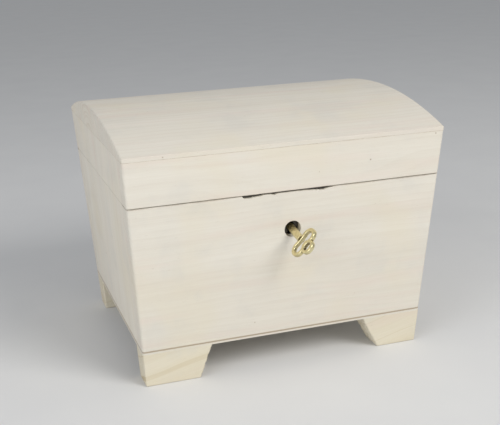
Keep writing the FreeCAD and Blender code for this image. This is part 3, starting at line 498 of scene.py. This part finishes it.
def splintered_notch():
    """The slit over the lock tears out below its two ends and in short splinters between."""
    plate_low, plate_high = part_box("lock_plate")
    left, right = plate_low.x - NOTCH_PAST * MM, plate_high.x + NOTCH_PAST * MM
    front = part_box("front_board")[0].y - NOTCH_OUT * MM
    back = plate_low.y + NOTCH_BEHIND * MM
    high = (RIM + NOTCH_OUT) * MM
    shape = bmesh.new()
    rows = []
    for index in range(NOTCH_STEPS + 1):
        share = index / NOTCH_STEPS
        ends = max(0.0, 1 - share / LEFT_TORN, (share - RIGHT_TORN) / (1 - RIGHT_TORN))
        taper = min(1.0, share / LEFT_TAPER, (1 - share) / RIGHT_TAPER)
        jag = noise.noise(Vector((share * SHORT_JAG, 3.0, 0))) * SHORT_DEPTH
        jag += noise.noise(Vector((share * LONG_JAG, 8.0, 0))) * LONG_DEPTH
        splinter = SPLINTER_DEPTH * math.exp(-(((share - SPLINTER_AT) / SPLINTER_WIDE) ** 2))
        depth = (EVEN_DEPTH + END_DEPTH * min(1.0, ends * 1.5) + jag + splinter) * taper
        x = left + (right - left) * share
        low = (RIM - max(0.0, depth)) * MM - LEAST_DEPTH * MM
        corners = (
            (x, front, low),
            (x, back, low + BACK_STEP * MM * taper),
            (x, back, high),
            (x, front, high),
        )
        rows.append([shape.verts.new(corner) for corner in corners])
    for before, after in zip(rows, rows[1:]):
        for corner in range(4):
            other = (corner + 1) % 4
            shape.faces.new((before[corner], before[other], after[other], after[corner]))
    shape.faces.new(rows[0][::-1])
    shape.faces.new(rows[-1])
    bmesh.ops.recalc_face_normals(shape, faces=shape.faces)
    data = bpy.data.meshes.new("notch")
    shape.to_mesh(data)
    shape.free()
    return data


front_piece = worked_copy("front_board", "front_board_worn", "body")
cut_away(front_piece, splintered_notch())


def rough_sawn(node):
    """A foot whose slanting inner end keeps the saw's torn surface and crumbled edges."""
    piece = worked_copy(node, node + "_sawn", "body")
    low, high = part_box(node)
    inward = -1.0 if low.x + high.x > 0 else 1.0
    shape = bmesh.new()
    shape.from_mesh(piece.data)
    bmesh.ops.remove_doubles(shape, verts=shape.verts, dist=PLAIN_WELD * MM)
    for _ in range(SAWN_ROUNDS):
        long = [edge for edge in shape.edges if edge.calc_length() > SAWN_FACET * MM]
        if not long:
            break
        bmesh.ops.subdivide_edges(shape, edges=long, cuts=1)
        bmesh.ops.triangulate(shape, faces=shape.faces)
    shape.normal_update()
    corners = [vert.co for vert in shape.verts]
    top_x = min(at.x * -inward for at in corners if at.z > high.z - SAWN_LEVEL * MM)
    foot_x = min(at.x * -inward for at in corners if at.z < low.z + SAWN_LEVEL * MM)
    for at in corners:
        share = (at.z - low.z) / (high.z - low.z)
        plane = foot_x + (top_x - foot_x) * share
        near = max(0.0, 1 - (at.x * -inward - plane) / (SAWN_REACH * MM))
        if near:
            spot = at / MM
            torn = noise.noise(spot * 0.9) * 0.5 + noise.noise(spot * 2.6) * 0.5
            at.x += -inward * near * max(0.0, SAWN_DEPTH + SAWN_VARIES * torn) * MM
    shape.to_mesh(piece.data)
    shape.free()


for corner in ("front_left", "front_right", "back_left", "back_right"):
    rough_sawn("foot_" + corner)

# ---------------------------------------------------------------- floor and light
def make_floor():
    """A plain pale sheet under the box, much larger than it."""
    shape = bmesh.new()
    bmesh.ops.create_grid(shape, x_segments=8, y_segments=8, size=6.0)
    data = bpy.data.meshes.new("floor")
    shape.to_mesh(data)
    shape.free()
    floor = bpy.data.objects.new("floor", data)
    bpy.context.collection.objects.link(floor)
    g = Graph("floor_paper")
    grain = g.noise(g.point, 0.02, 3.0, 0.5)
    colour = g.mix(grain, linear(222, 222, 222), linear(228, 228, 227))
    g.finish(Base_Color=colour, Roughness=0.9, Specular_IOR_Level=0.0)
    data.materials.append(g.material)


make_floor()

world = bpy.data.worlds.new("studio")
bpy.context.scene.world = world
world.use_nodes = True
world.node_tree.nodes["Background"].inputs["Color"].default_value = (0.80, 0.82, 0.85, 1.0)
world.node_tree.nodes["Background"].inputs["Strength"].default_value = 0.47


def area_light(name, position, aim, size, power, colour):
    """A round lamp turned towards a point; size in metres, power in watts."""
    data = bpy.data.lights.new(name, "AREA")
    data.shape = "DISK"
    data.size = size
    data.energy = power
    data.color = colour
    lamp = bpy.data.objects.new(name, data)
    bpy.context.collection.objects.link(lamp)
    lamp.location = position
    lamp.rotation_euler = (aim - position).to_track_quat("-Z", "Y").to_euler()


TARGET = place(0, 0, 60)
area_light("key_light", place(430, -800, 740), TARGET, 0.60, 6.6, (1.0, 0.985, 0.96))
area_light("fill_light", place(-760, -480, 420), TARGET, 0.8, 3.4, (0.97, 0.98, 1.0))

# ---------------------------------------------------------------- camera
yaw, pitch, roll = (math.radians(angle) for angle in (-18.17, -16.62, -1.794))
ahead = Vector((-math.sin(yaw), math.cos(yaw), 0))
forward = ahead * math.cos(pitch) + Vector((0, 0, math.sin(pitch)))
level = Vector((math.cos(yaw), math.sin(yaw), 0))
upward = level.cross(forward)
right = math.cos(roll) * level + math.sin(roll) * upward
up = -math.sin(roll) * level + math.cos(roll) * upward
lens = bpy.data.cameras.new("camera")
lens.sensor_width = 36.0
lens.lens = 67.87
lens.clip_start = 0.01
camera = bpy.data.objects.new("camera", lens)
bpy.context.collection.objects.link(camera)
turn = Matrix((right, up, -forward)).transposed().to_4x4()
camera.matrix_world = Matrix.Translation(place(-145.37, -451.59, 201.89)) @ turn
bpy.context.scene.camera = camera
bpy.context.scene.view_settings.view_transform = "Standard"
